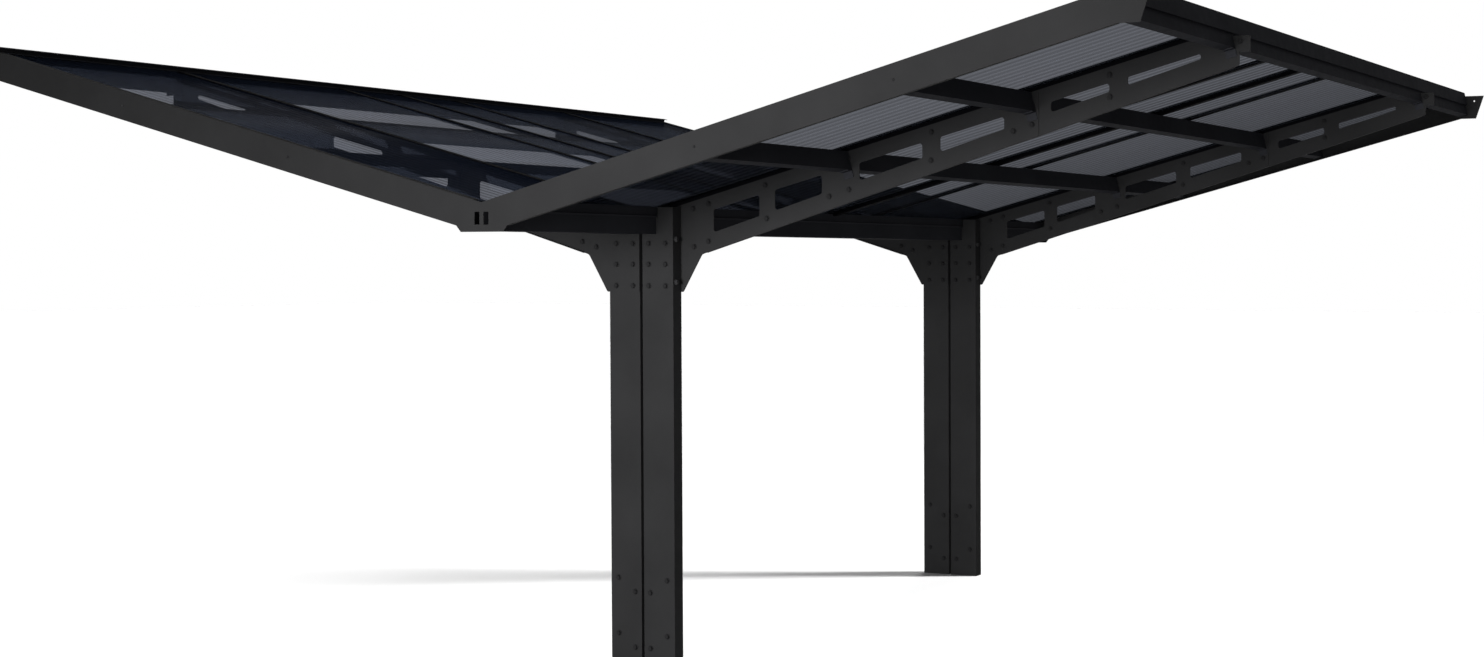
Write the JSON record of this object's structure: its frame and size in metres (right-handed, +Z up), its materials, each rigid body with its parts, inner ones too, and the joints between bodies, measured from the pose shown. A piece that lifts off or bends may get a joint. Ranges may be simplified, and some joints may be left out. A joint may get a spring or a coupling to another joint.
{
  "type": "double-wing carport",
  "caption": "Open carport with two cantilevered wings rising from a valley gutter on paired posts, with slotted tapered arms, purlins and smoky twin-wall roof panels.",
  "frame": {"origin": "on the ground at the middle of the carport, between the four posts", "axes": "+X across, towards the right wing's eave; +Y along the valley, from the front gable to the rear one; +Z up"},
  "size_m": [5.792, 4.95, 2.7968],
  "materials": {
    "frame": "matt anthracite powder coat",
    "dark_frame": "matt near-black powder coat",
    "panel": "smoky grey twin-wall polycarbonate, satin",
    "foot": "galvanised steel"
  },
  "bodies": {
    "root": {"right_front_post": "frame", "right_rear_post": "frame", "left_front_post": "frame", "left_rear_post": "frame", "right_front_foot": "foot", "right_rear_foot": "foot", "left_front_foot": "foot", "left_rear_foot": "foot", "right_front_inner_arm": "frame", "right_rear_inner_arm": "frame", "left_front_inner_arm": "frame", "left_rear_inner_arm": "frame", "right_front_outer_arm": "frame", "right_rear_outer_arm": "frame", "left_front_outer_arm": "frame", "left_rear_outer_arm": "frame", "right_splice_plates": "frame", "left_splice_plates": "frame", "right_gutter": "dark_frame", "left_gutter": "dark_frame", "right_front_gable": "frame", "right_rear_gable": "frame", "left_front_gable": "frame", "left_rear_gable": "frame", "right_inner_purlin": "dark_frame", "right_middle_purlin": "dark_frame", "right_outer_purlin": "dark_frame", "left_inner_purlin": "dark_frame", "left_middle_purlin": "dark_frame", "left_outer_purlin": "dark_frame", "right_purlin_cleats": "dark_frame", "left_purlin_cleats": "dark_frame", "right_front_panel": "panel", "right_middle_panels": "panel", "right_rear_panel": "panel", "left_front_panel": "panel", "left_middle_panels": "panel", "left_rear_panel": "panel", "right_panel_bars": "dark_frame", "left_panel_bars": "dark_frame", "right_eave_trim": "dark_frame", "left_eave_trim": "dark_frame"}
  },
  "joints": []
}
